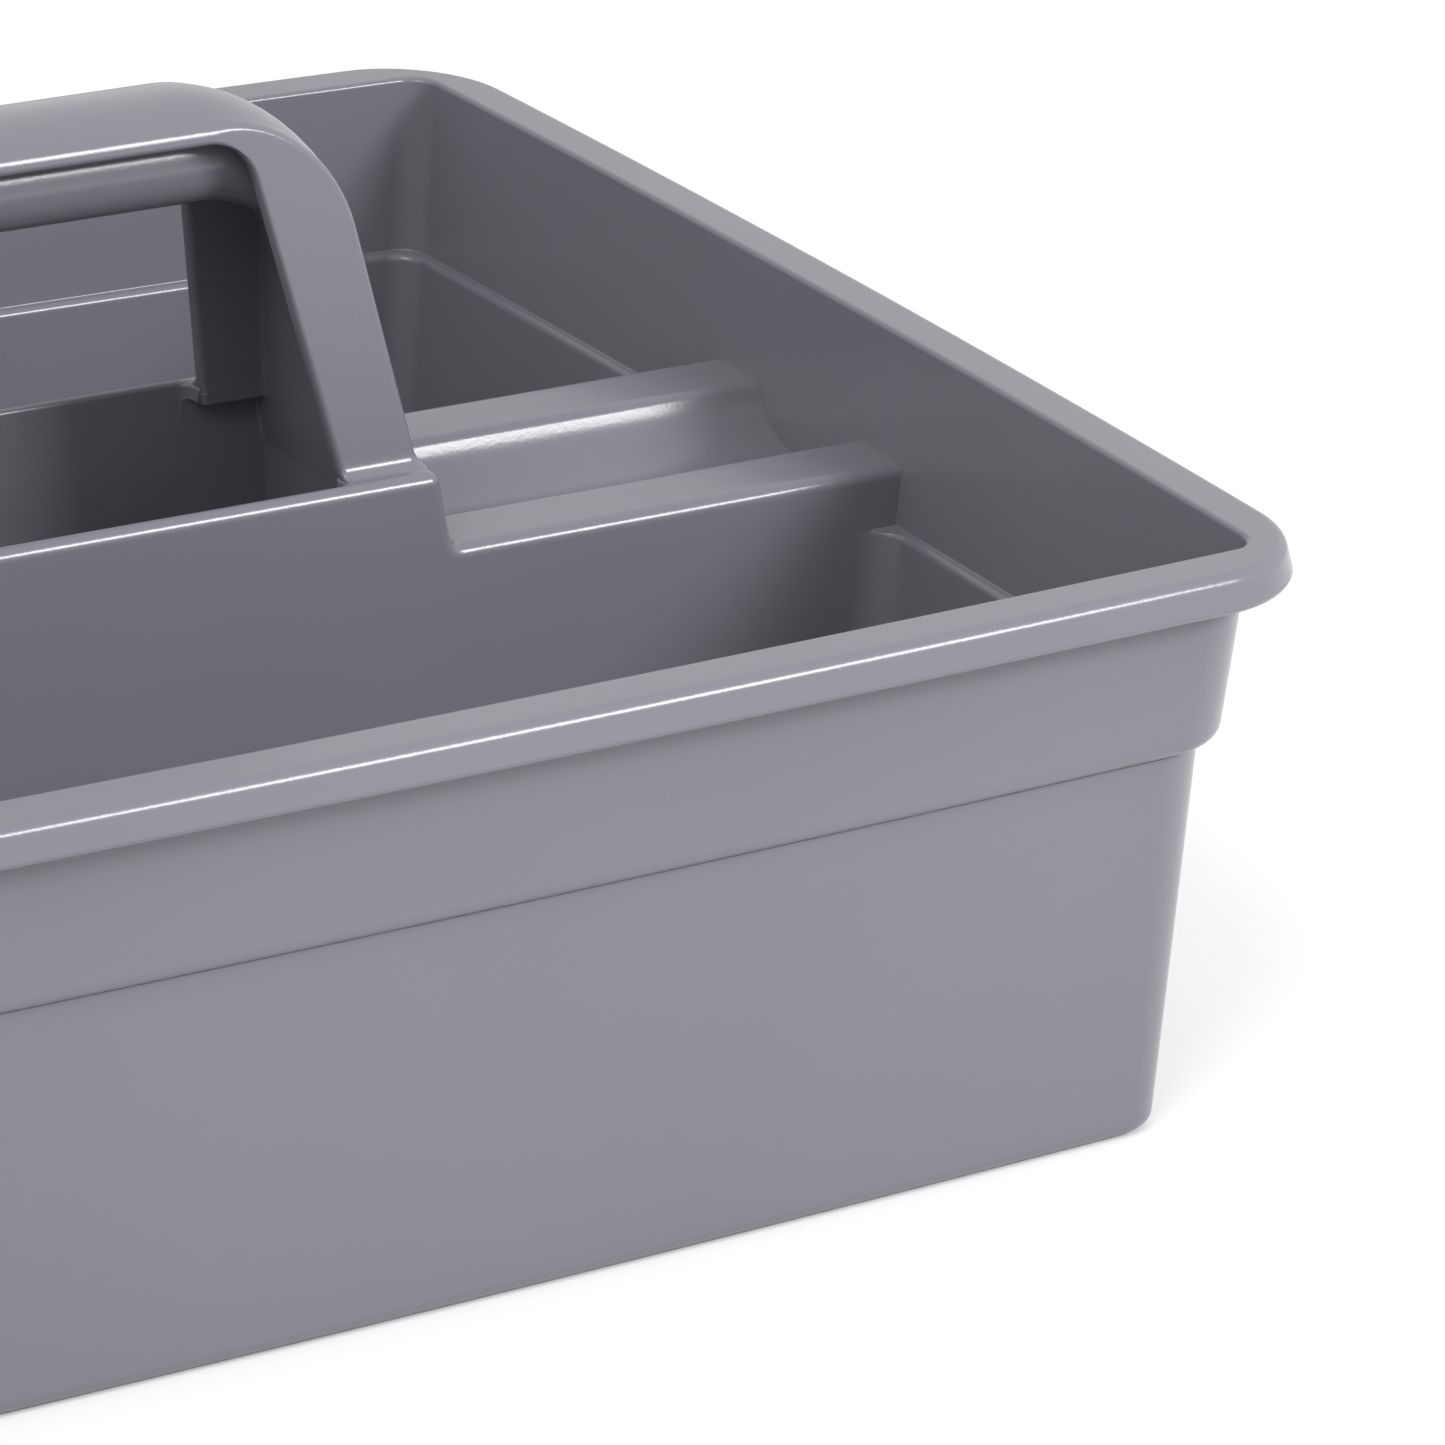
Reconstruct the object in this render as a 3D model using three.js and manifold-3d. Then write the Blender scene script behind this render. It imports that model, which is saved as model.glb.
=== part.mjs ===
// Carry caddy for cleaning supplies: an open tub with a flanged rim, a hollow rib with a
// shallow trough along its top, and an arch handle over the middle of the rib.
// Millimetres, +X along the length, +Y to the back, +Z up, origin under the middle of the base.
import * as THREE from 'three';
import { mergeVertices } from 'three/addons/utils/BufferGeometryUtils.js';
import Module from 'manifold-3d';

// ---- driving dimensions -------------------------------------------------------------------

const LENGTH = 418;            // over the rim, at the middle of the ends
const WIDTH = 287.8;           // over the rim, at the middle of the long sides
const HEIGHT = 156.9;          // to the crown of the handle
const END_BOW = 3.1;           // how far the ends bulge past their corners
const SIDE_BOW = 4.1;          // how far the long sides bulge past their corners
const WALL = 3;                // moulded wall thickness
const GAP = 0.3;               // clearance between neighbouring sections

// rim flange
const RIM_TOP = 104.3;
const RIM_LIP = 97.8;          // lower edge of its outer lip
const RIM_REACH = 10.7;        // plan width of the flange, outer lip to inner edge
const RIM_DRAFT = 1;           // how far the lip leans out between its top and its lower edge
const RIM_WEB = 3.2;           // thickness of its flat top
const RIM_CORNER = 22;         // plan radius of its corners
const RIM_EDGE = 2.1;          // rounding of its outer upper edge
const RIM_INNER_EDGE = 0.9;    // rounding of its inner upper edge
const LIP = 3;                 // thickness of the lip
const LIP_EDGE = 1.45;         // rounding of the lip's lower edge

// outer walls: inset from the rim's outer edge, height and plan corner radius
const STEP_HEIGHT = 69.5;      // where the upper band steps in to the lower wall
const BAND_TOP_INSET = 7.9;
const BAND_FOOT_INSET = 9.6;
const LOWER_TOP_INSET = 12.3;
const BASE_INSET = 15.9;
const WALL_CORNER = 13;
const BASE_CORNER = 7;         // tighter where the tapered wall meets the base
const INNER_CORNER = 5;        // plan radius inside the tub
const BASE_EDGE = 3;           // rounding of the bottom edge
const STEP_EDGE = 3.4;         // rounding of the band's lower edge
const STEP_FALL = 0.3;         // slope across the narrow step, outside and inside

// centre rib
const RIB_TOP = 82.8;
const RIB_HALF = 29.6;         // half width over the flat tops
const RIB_DRAFT = 0.035;       // widening per unit of height towards the base
const TROUGH_FLAT = 2;         // half width of the trough's flat bottom
const TROUGH_RADIUS = 15;
const TROUGH_FLOOR = 74.2;
const RIB_EDGE = 1.8;          // rounding of the rib's upper edges
const TROUGH_LIP_DROP = 0.6;   // blunted edge between the trough and the flat tops
const TROUGH_LIP_WIDTH = 1.2;
const INSIDE_EDGE = 0.6;       // smallest rounding on the inside of the moulding

// raised box in the middle of the rib, which carries the handle
const BOX_TOP = 96.1;
const BOX_HALF_FOOT = 108.1;   // half length where it meets the trough
const BOX_HALF_TOP = 105.2;    // half length at its top
const END_WALL_FOOT = 60;      // how low its end walls hang inside the rib
const BOX_EDGE = 1.5;

// arch handle
const ARCH_TOP = 155.4;        // height of its long edges
const ARCH_FOOT_HALF = 103.9;   // half length at its feet
const ARCH_SLOPE = 0.2095;     // how far a leg leans in per unit of height
const ARCH_CORNER = 25;
const WINDOW_TOP = 151.9;
const WINDOW_FOOT_HALF = 89;
const WINDOW_SLOPE = 0.2305;
const WINDOW_CORNER = 8;
const PLATE_FOOT_Y = 24.7;     // outer face of a side plate at its foot
const PLATE_TOP_Y = 12;        // and at the arch's top
const PLATE = 3;               // side plate thickness
const SKIN = 3;                // thickness of the outer skin between the plates
const CROWN_EDGE_RISE = 1.2;   // blunted long edges of the skin
const CROWN_EDGE_WIDTH = 1;
const CROWN_SHOULDER = 0.8;    // share of the crown's rise reached halfway to its middle

// rounded grip under the arch
const GRIP_RADIUS = 7.4;
const GRIP_HEIGHT = 145.9;     // centre line along the top
const GRIP_FILLET = 23;        // radius of its underside where it turns down into a leg
const GRIP_END_HALF = 11;      // half width of the grip where it has flattened against a leg
const GRIP_REACH = 0.78;       // share of the fillet that the bar follows before it is too thin
const GRIP_SIDES = 16;
const GRIP_STEPS = 8;          // rings along each fillet

const FAR = 400;               // longer than any cut through the part
const CUT_PAST = 1;            // how far a cut runs past the face it opens

const PLASTIC = { color: 0x85868d, roughness: 0.38, metalness: 0 };

const HALF_X = LENGTH / 2 - END_BOW;
const HALF_Y = WIDTH / 2 - SIDE_BOW;

// ---- booleans -----------------------------------------------------------------------------

const wasm = await Module();
wasm.setup();

function toSolid(geometry) {
  const bare = geometry.clone();
  bare.deleteAttribute('normal');
  bare.deleteAttribute('uv');
  const merged = mergeVertices(bare, 1e-4);
  return new wasm.Manifold(new wasm.Mesh({
    numProp: 3,
    vertProperties: Float32Array.from(merged.attributes.position.array),
    triVerts: Uint32Array.from(merged.index.array),
  }));
}

function toGeometry(solid) {
  const mesh = solid.getMesh();
  const geometry = new THREE.BufferGeometry();
  geometry.setAttribute('position', new THREE.BufferAttribute(mesh.vertProperties, 3));
  geometry.setIndex(new THREE.BufferAttribute(mesh.triVerts, 1));
  geometry.computeVertexNormals();
  return geometry;
}

// ---- plan outlines and ring stacks ----------------------------------------------------------

const CORNER_STEPS = 6;
const LONG_STEPS = 10;
const SHORT_STEPS = 7;

// The sides bulge: a smooth stretch of the plan that is largest at the middle of each side.
function bulge(x, y) {
  const alongX = 1 - (x / HALF_X) ** 2;
  const alongY = 1 - (y / HALF_Y) ** 2;
  return [x * (1 + END_BOW * alongY / HALF_X), y * (1 + SIDE_BOW * alongX / HALF_Y)];
}

// Rounded rectangle, anticlockwise from the front side, with the same count for every inset.
function planOutline(inset, radius) {
  const a = HALF_X - inset;
  const b = HALF_Y - inset;
  const corners = [[1, -1], [1, 1], [-1, 1], [-1, -1]];
  const points = [];
  corners.forEach(([sx, sy], i) => {
    const start = -Math.PI / 2 + i * Math.PI / 2;
    for (let k = 0; k <= CORNER_STEPS; k++) {
      const angle = start + k / CORNER_STEPS * Math.PI / 2;
      const x = sx * (a - radius) + radius * Math.cos(angle);
      const y = sy * (b - radius) + radius * Math.sin(angle);
      points.push([x, y]);
    }
    const [nx, ny] = corners[(i + 1) % 4];
    const steps = i % 2 ? LONG_STEPS : SHORT_STEPS;
    const from = points[points.length - 1];
    const next = start + Math.PI / 2;
    const to = [
      nx * (a - radius) + radius * Math.cos(next),
      ny * (b - radius) + radius * Math.sin(next),
    ];
    for (let k = 1; k < steps; k++) {
      const t = k / steps;
      points.push([from[0] + (to[0] - from[0]) * t, from[1] + (to[1] - from[1]) * t]);
    }
  });
  return points.map(([x, y]) => bulge(x, y));
}

// Joins rings of equal count. A closed stack wraps round; an open one gets flat end caps.
function stackRings(rings, closed) {
  const count = rings[0].length;
  const position = rings.flat(2);
  const index = [];
  const last = closed ? rings.length : rings.length - 1;
  for (let r = 0; r < last; r++) {
    const low = r * count;
    const high = ((r + 1) % rings.length) * count;
    for (let i = 0; i < count; i++) {
      const j = (i + 1) % count;
      index.push(low + i, low + j, high + j, low + i, high + j, high + i);
    }
  }
  if (!closed) {
    [[0, true], [rings.length - 1, false]].forEach(([r, flip]) => {
      const outline = rings[r].map(([x, y]) => new THREE.Vector2(x, y));
      THREE.ShapeUtils.triangulateShape(outline, []).forEach(([p, q, s]) => {
        const face = flip ? [p, s, q] : [p, q, s];
        index.push(...face.map((v) => v + r * count));
      });
    });
  }
  const geometry = new THREE.BufferGeometry();
  geometry.setAttribute('position', new THREE.Float32BufferAttribute(position, 3));
  geometry.setIndex(index);
  return geometry;
}

// A level is [inset, height, plan corner radius].
function levelRing([inset, z, radius]) {
  return planOutline(inset, radius).map(([x, y]) => [x, y, z]);
}

// Points of an arc in the inset-height plane, angles in degrees, all with one plan radius.
function arcLevels(inset, z, radius, from, to, steps, planRadius) {
  const levels = [];
  for (let k = 0; k <= steps; k++) {
    const angle = THREE.MathUtils.degToRad(from + (to - from) * k / steps);
    levels.push([inset + radius * Math.cos(angle), z + radius * Math.sin(angle), planRadius]);
  }
  return levels;
}

// ---- tub ------------------------------------------------------------------------------------

const INNER_STEP_SHORTER = 0.6; // the step is softer inside than outside
const INNER_FOOT_INSET = BAND_FOOT_INSET + WALL + INNER_STEP_SHORTER;
const INNER_LOWER_INSET = LOWER_TOP_INSET + WALL - INNER_STEP_SHORTER / 2;
const INNER_BASE_INSET = BASE_INSET + WALL;
const INNER_STEP = STEP_HEIGHT + WALL - 0.4;
const FLOOR_EDGE = 5;
const LEDGE_EDGE = 0.7;
const WEB_UNDER = RIM_TOP - RIM_WEB;

function tubSolid() {
  const outside = [
    ...arcLevels(BASE_INSET + BASE_EDGE, BASE_EDGE, BASE_EDGE, 270, 180, 3, BASE_CORNER),
    [LOWER_TOP_INSET, STEP_HEIGHT, WALL_CORNER],
    ...arcLevels(BAND_FOOT_INSET + STEP_EDGE, STEP_HEIGHT + STEP_FALL + STEP_EDGE, STEP_EDGE,
      262, 180, 3, WALL_CORNER),
    [BAND_TOP_INSET, WEB_UNDER - GAP, WALL_CORNER],
  ];
  const inside = [
    [RIM_REACH, WEB_UNDER - GAP, INNER_CORNER],
    [INNER_FOOT_INSET, INNER_STEP + LEDGE_EDGE, INNER_CORNER],
    [INNER_FOOT_INSET + LEDGE_EDGE, INNER_STEP, INNER_CORNER],
    [INNER_LOWER_INSET - LEDGE_EDGE, INNER_STEP - STEP_FALL, INNER_CORNER],
    [INNER_LOWER_INSET, INNER_STEP - LEDGE_EDGE, INNER_CORNER],
    ...arcLevels(INNER_BASE_INSET + FLOOR_EDGE, WALL + FLOOR_EDGE, FLOOR_EDGE,
      180, 270, 3, INNER_CORNER),
  ];
  return toSolid(stackRings([...outside, ...inside].map(levelRing), false));
}

// Room inside the walls, kept clear of them, which trims the ends of the rib.
function ribRoom() {
  const levels = [
    [INNER_BASE_INSET + 3 * GAP, -CUT_PAST, INNER_CORNER],
    [INNER_BASE_INSET + GAP, WALL + FLOOR_EDGE, INNER_CORNER],
    [INNER_LOWER_INSET + GAP, INNER_STEP - LEDGE_EDGE, INNER_CORNER],
    [INNER_LOWER_INSET + GAP, INNER_STEP + GAP, INNER_CORNER],
    [INNER_FOOT_INSET + LEDGE_EDGE + GAP, INNER_STEP + GAP, INNER_CORNER],
    [INNER_FOOT_INSET + GAP, INNER_STEP + LEDGE_EDGE + GAP, INNER_CORNER],
    [RIM_REACH + GAP, WEB_UNDER - GAP, INNER_CORNER],
  ];
  return toSolid(stackRings(levels.map(levelRing), false));
}

function slotUnderRib() {
  const half = RIB_HALF + RIB_DRAFT * RIB_TOP + GAP;
  const reach = HALF_X + END_BOW - INNER_BASE_INSET - GAP;
  const height = WALL + FLOOR_EDGE;
  const box = new THREE.BoxGeometry(2 * reach, 2 * half, 2 * height);
  return toSolid(box);
}

function makeTub() {
  return toGeometry(tubSolid().subtract(slotUnderRib()));
}

// The flange is a flat strip over the wall, with a lip that hangs from its outer edge.
function makeRim() {
  const topCorner = RIM_CORNER - RIM_DRAFT;
  const levels = [
    [RIM_DRAFT + LIP, WEB_UNDER, topCorner - LIP],
    [LIP, RIM_LIP + LIP_EDGE / 2, RIM_CORNER - LIP],
    ...arcLevels(LIP_EDGE, RIM_LIP + LIP_EDGE, LIP_EDGE, 300, 180, 3, RIM_CORNER),
    ...arcLevels(RIM_DRAFT + RIM_EDGE, RIM_TOP - RIM_EDGE, RIM_EDGE, 165, 90, 4, topCorner),
    ...arcLevels(RIM_REACH - RIM_INNER_EDGE, RIM_TOP - RIM_INNER_EDGE, RIM_INNER_EDGE,
      90, 0, 2, INNER_CORNER),
    [RIM_REACH, WEB_UNDER, INNER_CORNER],
  ];
  return stackRings(levels.map(levelRing), true);
}

// ---- rib, box and handle --------------------------------------------------------------------

// Extrudes a shape drawn in [y, z] along X, or one drawn in [x, z] along Y.
function prism(points, axis, from, to) {
  const shape = new THREE.Shape(points.map(([u, v]) => new THREE.Vector2(u, v)));
  const geometry = new THREE.ExtrudeGeometry(shape, { depth: to - from, bevelEnabled: false });
  const turn = new THREE.Matrix4();
  if (axis === 'x') {
    turn.makeBasis(new THREE.Vector3(0, 1, 0), new THREE.Vector3(0, 0, 1),
      new THREE.Vector3(1, 0, 0));
    turn.setPosition(from, 0, 0);
  } else {
    turn.makeBasis(new THREE.Vector3(1, 0, 0), new THREE.Vector3(0, 0, 1),
      new THREE.Vector3(0, -1, 0));
    turn.setPosition(0, -from, 0);
  }
  geometry.applyMatrix4(turn);
  return toSolid(geometry);
}

function mirrored(half) {
  return [...half, ...half.map(([u, v]) => [-u, v]).reverse()];
}

function arcPoints(u, v, radius, from, to, steps) {
  const points = [];
  for (let k = 0; k <= steps; k++) {
    const angle = THREE.MathUtils.degToRad(from + (to - from) * k / steps);
    points.push([u + radius * Math.cos(angle), v + radius * Math.sin(angle)]);
  }
  return points;
}

const ribHalfAt = (z) => RIB_HALF + RIB_DRAFT * (RIB_TOP - z);

// Upper surface of the rib from the outer wall to the trough's middle, at a depth below it.
function ribTopHalf(depth) {
  const edge = Math.max(RIB_EDGE - depth / 2, INSIDE_EDGE);
  const top = RIB_TOP - depth;
  const radius = TROUGH_RADIUS + depth;
  const centre = TROUGH_FLOOR + TROUGH_RADIUS;
  const lip = Math.asin((centre - top + TROUGH_LIP_DROP) / radius);
  const lipAngle = -THREE.MathUtils.radToDeg(lip);
  return [
    ...arcPoints(RIB_HALF - depth - edge, top - edge, edge, 0, 90, 3),
    [TROUGH_FLAT + radius * Math.cos(lip) + TROUGH_LIP_WIDTH, top],
    ...arcPoints(TROUGH_FLAT, centre, radius, lipAngle, -90, 6),
  ];
}

function ribSection() {
  const outer = mirrored([[ribHalfAt(0), 0], ...ribTopHalf(0)]);
  const inner = mirrored([[ribHalfAt(0) - WALL, 0], ...ribTopHalf(WALL)]);
  return [...outer, ...inner.reverse()];
}

function makeRib(side) {
  const near = BOX_HALF_FOOT + GAP;
  const span = side > 0 ? [near, LENGTH / 2] : [-LENGTH / 2, -near];
  return toGeometry(prism(ribSection(), 'x', ...span).intersect(ribRoom()));
}

// Outline in [x, z] of an arch leg pair: a flat top, round corners and sloping sides.
function archOutline(footHalf, slope, top, corner, foot) {
  const tilt = Math.atan(slope);
  const reach = footHalf + slope * (BOX_TOP - top);
  const centreX = reach + slope * corner - corner / Math.cos(tilt);
  const degrees = THREE.MathUtils.radToDeg(tilt);
  return mirrored([
    [footHalf + slope * (BOX_TOP - foot), foot],
    ...arcPoints(centreX, top - corner, corner, degrees, 90, 7),
  ]);
}

// Outline in [y, z] between the side plates, inset from their outer faces.
function plateOutline(inset, foot, crown) {
  const lean = (PLATE_FOOT_Y - PLATE_TOP_Y) / (ARCH_TOP - BOX_TOP);
  const halfAt = (z) => PLATE_FOOT_Y - inset - lean * (z - BOX_TOP);
  const top = ARCH_TOP - CROWN_EDGE_RISE;
  return mirrored([
    [halfAt(foot), foot],
    [halfAt(top), top],
    [halfAt(top) - CROWN_EDGE_WIDTH, ARCH_TOP],
    [halfAt(top) / 2, ARCH_TOP + crown * CROWN_SHOULDER],
    [CROWN_EDGE_WIDTH / 2, ARCH_TOP + crown],
  ]);
}

// A box closed at the top and the ends. Its top is open into the handle's hollow legs.
function makeBox() {
  const inner = RIB_HALF - WALL;
  const ceiling = BOX_TOP - WALL;
  const innerFoot = BOX_HALF_FOOT - WALL;
  const innerTop = ARCH_FOOT_HALF - SKIN;
  const block = prism(mirrored([
    [ribHalfAt(0), 0],
    ...arcPoints(ribHalfAt(BOX_TOP) - BOX_EDGE, BOX_TOP - BOX_EDGE, BOX_EDGE, 0, 90, 3),
  ]), 'x', -FAR, FAR);
  const ends = prism(mirrored([
    [BOX_HALF_FOOT, -CUT_PAST],
    [BOX_HALF_FOOT, RIB_TOP],
    ...arcPoints(BOX_HALF_TOP - BOX_EDGE, BOX_TOP - BOX_EDGE, BOX_EDGE, 0, 90, 3),
  ]), 'y', -FAR, FAR);
  const hollow = prism(mirrored([
    [ribHalfAt(-CUT_PAST) - WALL, -CUT_PAST],
    [inner, ceiling],
  ]), 'x', -FAR, FAR);
  const hollowEnds = prism(mirrored([
    [FAR, -CUT_PAST],
    [FAR, END_WALL_FOOT],
    [innerFoot, END_WALL_FOOT],
    [innerFoot - CUT_PAST, RIB_TOP],
    [innerTop, BOX_TOP],
  ]), 'y', -FAR, FAR);
  const legs = prism(plateOutline(PLATE, ceiling - CUT_PAST, 0), 'x', -FAR, FAR)
    .intersect(prism(mirrored([
      [innerTop, ceiling - CUT_PAST],
      [innerTop, BOX_TOP + CUT_PAST],
    ]), 'y', -FAR, FAR));
  const well = toSolid(new THREE.BoxGeometry(2 * WINDOW_FOOT_HALF, 2 * inner, 3 * BOX_TOP));
  return toGeometry(block.intersect(ends)
    .subtract(hollow.intersect(hollowEnds))
    .subtract(legs)
    .subtract(well));
}

function makeArch() {
  const foot = BOX_TOP + GAP;
  const body = prism(archOutline(ARCH_FOOT_HALF, ARCH_SLOPE, HEIGHT, ARCH_CORNER, foot),
    'y', -FAR, FAR);
  const plates = prism(plateOutline(0, foot, HEIGHT - ARCH_TOP), 'x', -FAR, FAR);
  const room = prism(plateOutline(PLATE, foot - CUT_PAST, HEIGHT - ARCH_TOP), 'x', -FAR, FAR);
  const underSkin = prism(
    archOutline(ARCH_FOOT_HALF - SKIN, ARCH_SLOPE, HEIGHT - SKIN, ARCH_CORNER - SKIN,
      foot - CUT_PAST),
    'y', -FAR, FAR);
  const window = prism(
    archOutline(WINDOW_FOOT_HALF, WINDOW_SLOPE, WINDOW_TOP, WINDOW_CORNER, foot - CUT_PAST),
    'y', -FAR, FAR);
  return toGeometry(body.intersect(plates)
    .subtract(underSkin.intersect(room))
    .subtract(window));
}

// The grip is a round bar. Towards a leg its underside turns down in a fillet while its upper
// side follows the skin, so that it flattens out against the leg.
function makeGrip() {
  const tilt = Math.atan(ARCH_SLOPE);
  const turn = Math.PI / 2 - tilt;
  const top = HEIGHT - SKIN;
  const skinRadius = ARCH_CORNER - SKIN;
  const skinAt = (z) => ARCH_FOOT_HALF - SKIN + ARCH_SLOPE * (BOX_TOP - z);
  const filletZ = GRIP_HEIGHT - GRIP_RADIUS - GRIP_FILLET;
  const filletX = skinAt(filletZ) - GRIP_FILLET / Math.cos(tilt);
  const cornerZ = top - skinRadius;
  const cornerX = skinAt(cornerZ) - skinRadius / Math.cos(tilt);
  const upperRadius = GRIP_HEIGHT + GRIP_RADIUS - cornerZ;
  const straight = (cornerZ - filletZ) / Math.cos(tilt);
  const upperLength = upperRadius * turn + straight;

  const stations = [];
  for (let k = 0; k <= GRIP_STEPS; k++) {
    const t = GRIP_REACH * k / GRIP_STEPS;
    const under = Math.PI / 2 - turn * t;
    const along = upperLength * t;
    const upper = Math.max(Math.PI / 2 - along / upperRadius, tilt);
    const down = Math.max(along - upperRadius * turn, 0);
    const low = [
      filletX + GRIP_FILLET * Math.cos(under),
      filletZ + GRIP_FILLET * Math.sin(under),
    ];
    const high = [
      cornerX + upperRadius * Math.cos(upper) + down * Math.sin(tilt),
      cornerZ + upperRadius * Math.sin(upper) - down * Math.cos(tilt),
    ];
    const width = GRIP_RADIUS + (GRIP_END_HALF - GRIP_RADIUS) * (t / GRIP_REACH) ** 2;
    stations.push({ low, high, width });
  }
  const flip = ([x, z]) => [-x, z];
  const path = [
    ...stations.map((s) => ({ ...s, low: flip(s.low), high: flip(s.high) })).reverse(),
    ...stations,
  ];
  const rings = path.map(({ low, high, width }) => {
    const ring = [];
    for (let i = 0; i < GRIP_SIDES; i++) {
      const angle = i / GRIP_SIDES * 2 * Math.PI;
      const share = (1 + Math.sin(angle)) / 2;
      ring.push([
        low[0] + (high[0] - low[0]) * share,
        width * Math.cos(angle),
        low[1] + (high[1] - low[1]) * share,
      ]);
    }
    return ring;
  });
  return capRings(rings);
}

// Joins the rings of a bar and closes both ends with a fan about their centres.
function capRings(rings) {
  const count = rings[0].length;
  const index = [];
  for (let r = 0; r + 1 < rings.length; r++) {
    for (let i = 0; i < count; i++) {
      const j = (i + 1) % count;
      const a = r * count;
      const b = a + count;
      index.push(a + i, a + j, b + j, a + i, b + j, b + i);
    }
  }
  const position = rings.flat(2);
  [[0, true], [rings.length - 1, false]].forEach(([r, flip]) => {
    const centre = [0, 1, 2].map((c) => rings[r].reduce((sum, p) => sum + p[c], 0) / count);
    const hub = position.length / 3;
    position.push(...centre);
    for (let i = 0; i < count; i++) {
      const a = r * count + i;
      const b = r * count + (i + 1) % count;
      index.push(...(flip ? [hub, b, a] : [hub, a, b]));
    }
  });
  const geometry = new THREE.BufferGeometry();
  geometry.setAttribute('position', new THREE.Float32BufferAttribute(position, 3));
  geometry.setIndex(index);
  return geometry;
}

// ---- assembly -------------------------------------------------------------------------------

const caddy = new THREE.Group();

function addPart(name, geometry) {
  const mesh = new THREE.Mesh(geometry, new THREE.MeshStandardMaterial(PLASTIC));
  mesh.name = name;
  caddy.add(mesh);
}

addPart('tub_shell', makeTub());
addPart('rim_flange', makeRim());
addPart('left_trough_rib', makeRib(-1));
addPart('right_trough_rib', makeRib(1));
addPart('handle_base', makeBox());
addPart('handle_arch', makeArch());
addPart('grip_bar', makeGrip());

export default caddy;
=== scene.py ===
"""Looks of a carry caddy for cleaning supplies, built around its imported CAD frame.

The caddy is one grey moulding. Its visible surfaces are rebuilt here as four fine meshes, with
the fillets, rolled edges and flared joins that the plain CAD sections leave out:
tub_body, centre_rib, arch_handle and grip. Lengths are in millimetres until a mesh is made.
"""
import math

import bmesh
import bpy
from mathutils import Matrix, Vector
from mathutils.geometry import tessellate_polygon


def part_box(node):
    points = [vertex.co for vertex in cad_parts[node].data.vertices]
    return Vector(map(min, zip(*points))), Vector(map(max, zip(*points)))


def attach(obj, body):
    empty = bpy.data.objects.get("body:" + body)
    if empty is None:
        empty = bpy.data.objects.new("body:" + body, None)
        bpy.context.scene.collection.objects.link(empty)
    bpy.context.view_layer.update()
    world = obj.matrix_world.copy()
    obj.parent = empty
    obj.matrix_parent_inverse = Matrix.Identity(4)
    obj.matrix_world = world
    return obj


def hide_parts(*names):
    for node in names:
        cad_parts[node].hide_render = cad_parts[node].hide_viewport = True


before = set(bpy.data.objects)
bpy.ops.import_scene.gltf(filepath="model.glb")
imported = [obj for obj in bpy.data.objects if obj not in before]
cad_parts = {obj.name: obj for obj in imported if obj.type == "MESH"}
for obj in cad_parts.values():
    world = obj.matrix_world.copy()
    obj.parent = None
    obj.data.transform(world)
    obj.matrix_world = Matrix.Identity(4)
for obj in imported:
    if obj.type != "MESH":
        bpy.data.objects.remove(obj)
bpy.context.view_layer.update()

MM = 0.001                      # metres in a millimetre


# ---- sizes --------------------------------------------------------------------------------------

LOW, HIGH = 0, 1                # the two corners of a CAD node's box


def corner_mm(node, end, axis):
    """One coordinate of a CAD node's box, in millimetres."""
    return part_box(node)[end]["xyz".index(axis)] / MM


WALL = 3.0                      # moulded wall
END_BOW = 3.1                   # how far the ends bulge past their corners
SIDE_BOW = 4.1                  # how far the long sides bulge past their corners
HALF_X = corner_mm("rim_flange", HIGH, "x") - END_BOW
HALF_Y = corner_mm("rim_flange", HIGH, "y") - SIDE_BOW

RIM_TOP = corner_mm("rim_flange", HIGH, "z")
RIM_LIP = corner_mm("rim_flange", LOW, "z")
RIM_REACH = 10.7                # plan width of the flange
RIM_DRAFT = 1.0                 # how far its lip leans out towards the lower edge
RIM_WEB = 3.2                   # thickness of its flat top
RIM_CORNER = 22.0               # plan radius of its corners
RIM_EDGE = 2.3                  # rounding of its outer top edge
RIM_INNER_EDGE = 0.9            # rounding of its inner top edge
RIM_ROOT = 1.2                  # rounding between the band and its underside
LIP_EDGE = 1.45                 # rounding of the lip's lower edge

STEP_HEIGHT = 69.5              # where the band steps in to the lower wall
BAND_TOP_INSET = 7.9            # insets are measured from the rim's outline
BAND_FOOT_INSET = 9.6
LOWER_TOP_INSET = 12.3
BASE_INSET = 15.9
WALL_CORNER = 13.0              # plan radius outside, from the step upwards
BASE_CORNER = 7.0               # tighter where the tapered wall meets the base
BASE_EDGE = 3.0
STEP_EDGE = 3.2                 # rounding of the band's foot
STEP_ROOT = 0.5                 # rounding between the lower wall and the band's underside
LEDGE = STEP_HEIGHT + WALL - 0.4    # the step's level inside the tub
LEDGE_ROOT = 0.3                # concave rounding where the band meets the ledge
LEDGE_NOSE = 1.4                # convex rounding of the ledge's edge
INNER_CORNER = 5.0              # plan radius inside
FLOOR_EDGE = 6.0
SLOT_HALF_X = 183.0             # slot in the floor under the rib
SLOT_HALF_Y = 30.6

RIB_TOP = corner_mm("right_trough_rib", HIGH, "z")
RIB_HALF = 29.6                 # half width over its flat tops
RIB_DRAFT = 0.035               # widening per unit of height towards the base
RIB_EDGE = 2.2
RIB_FLARE = 6.0                 # fillet against the end wall, below the ledge
TROUGH_FLAT = 2.6               # half width of its level bottom
TROUGH_RADIUS = 14.0
TROUGH_FLOOR = 74.2
TROUGH_LIP = 2.2                # rounding between trough and flat top

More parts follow.
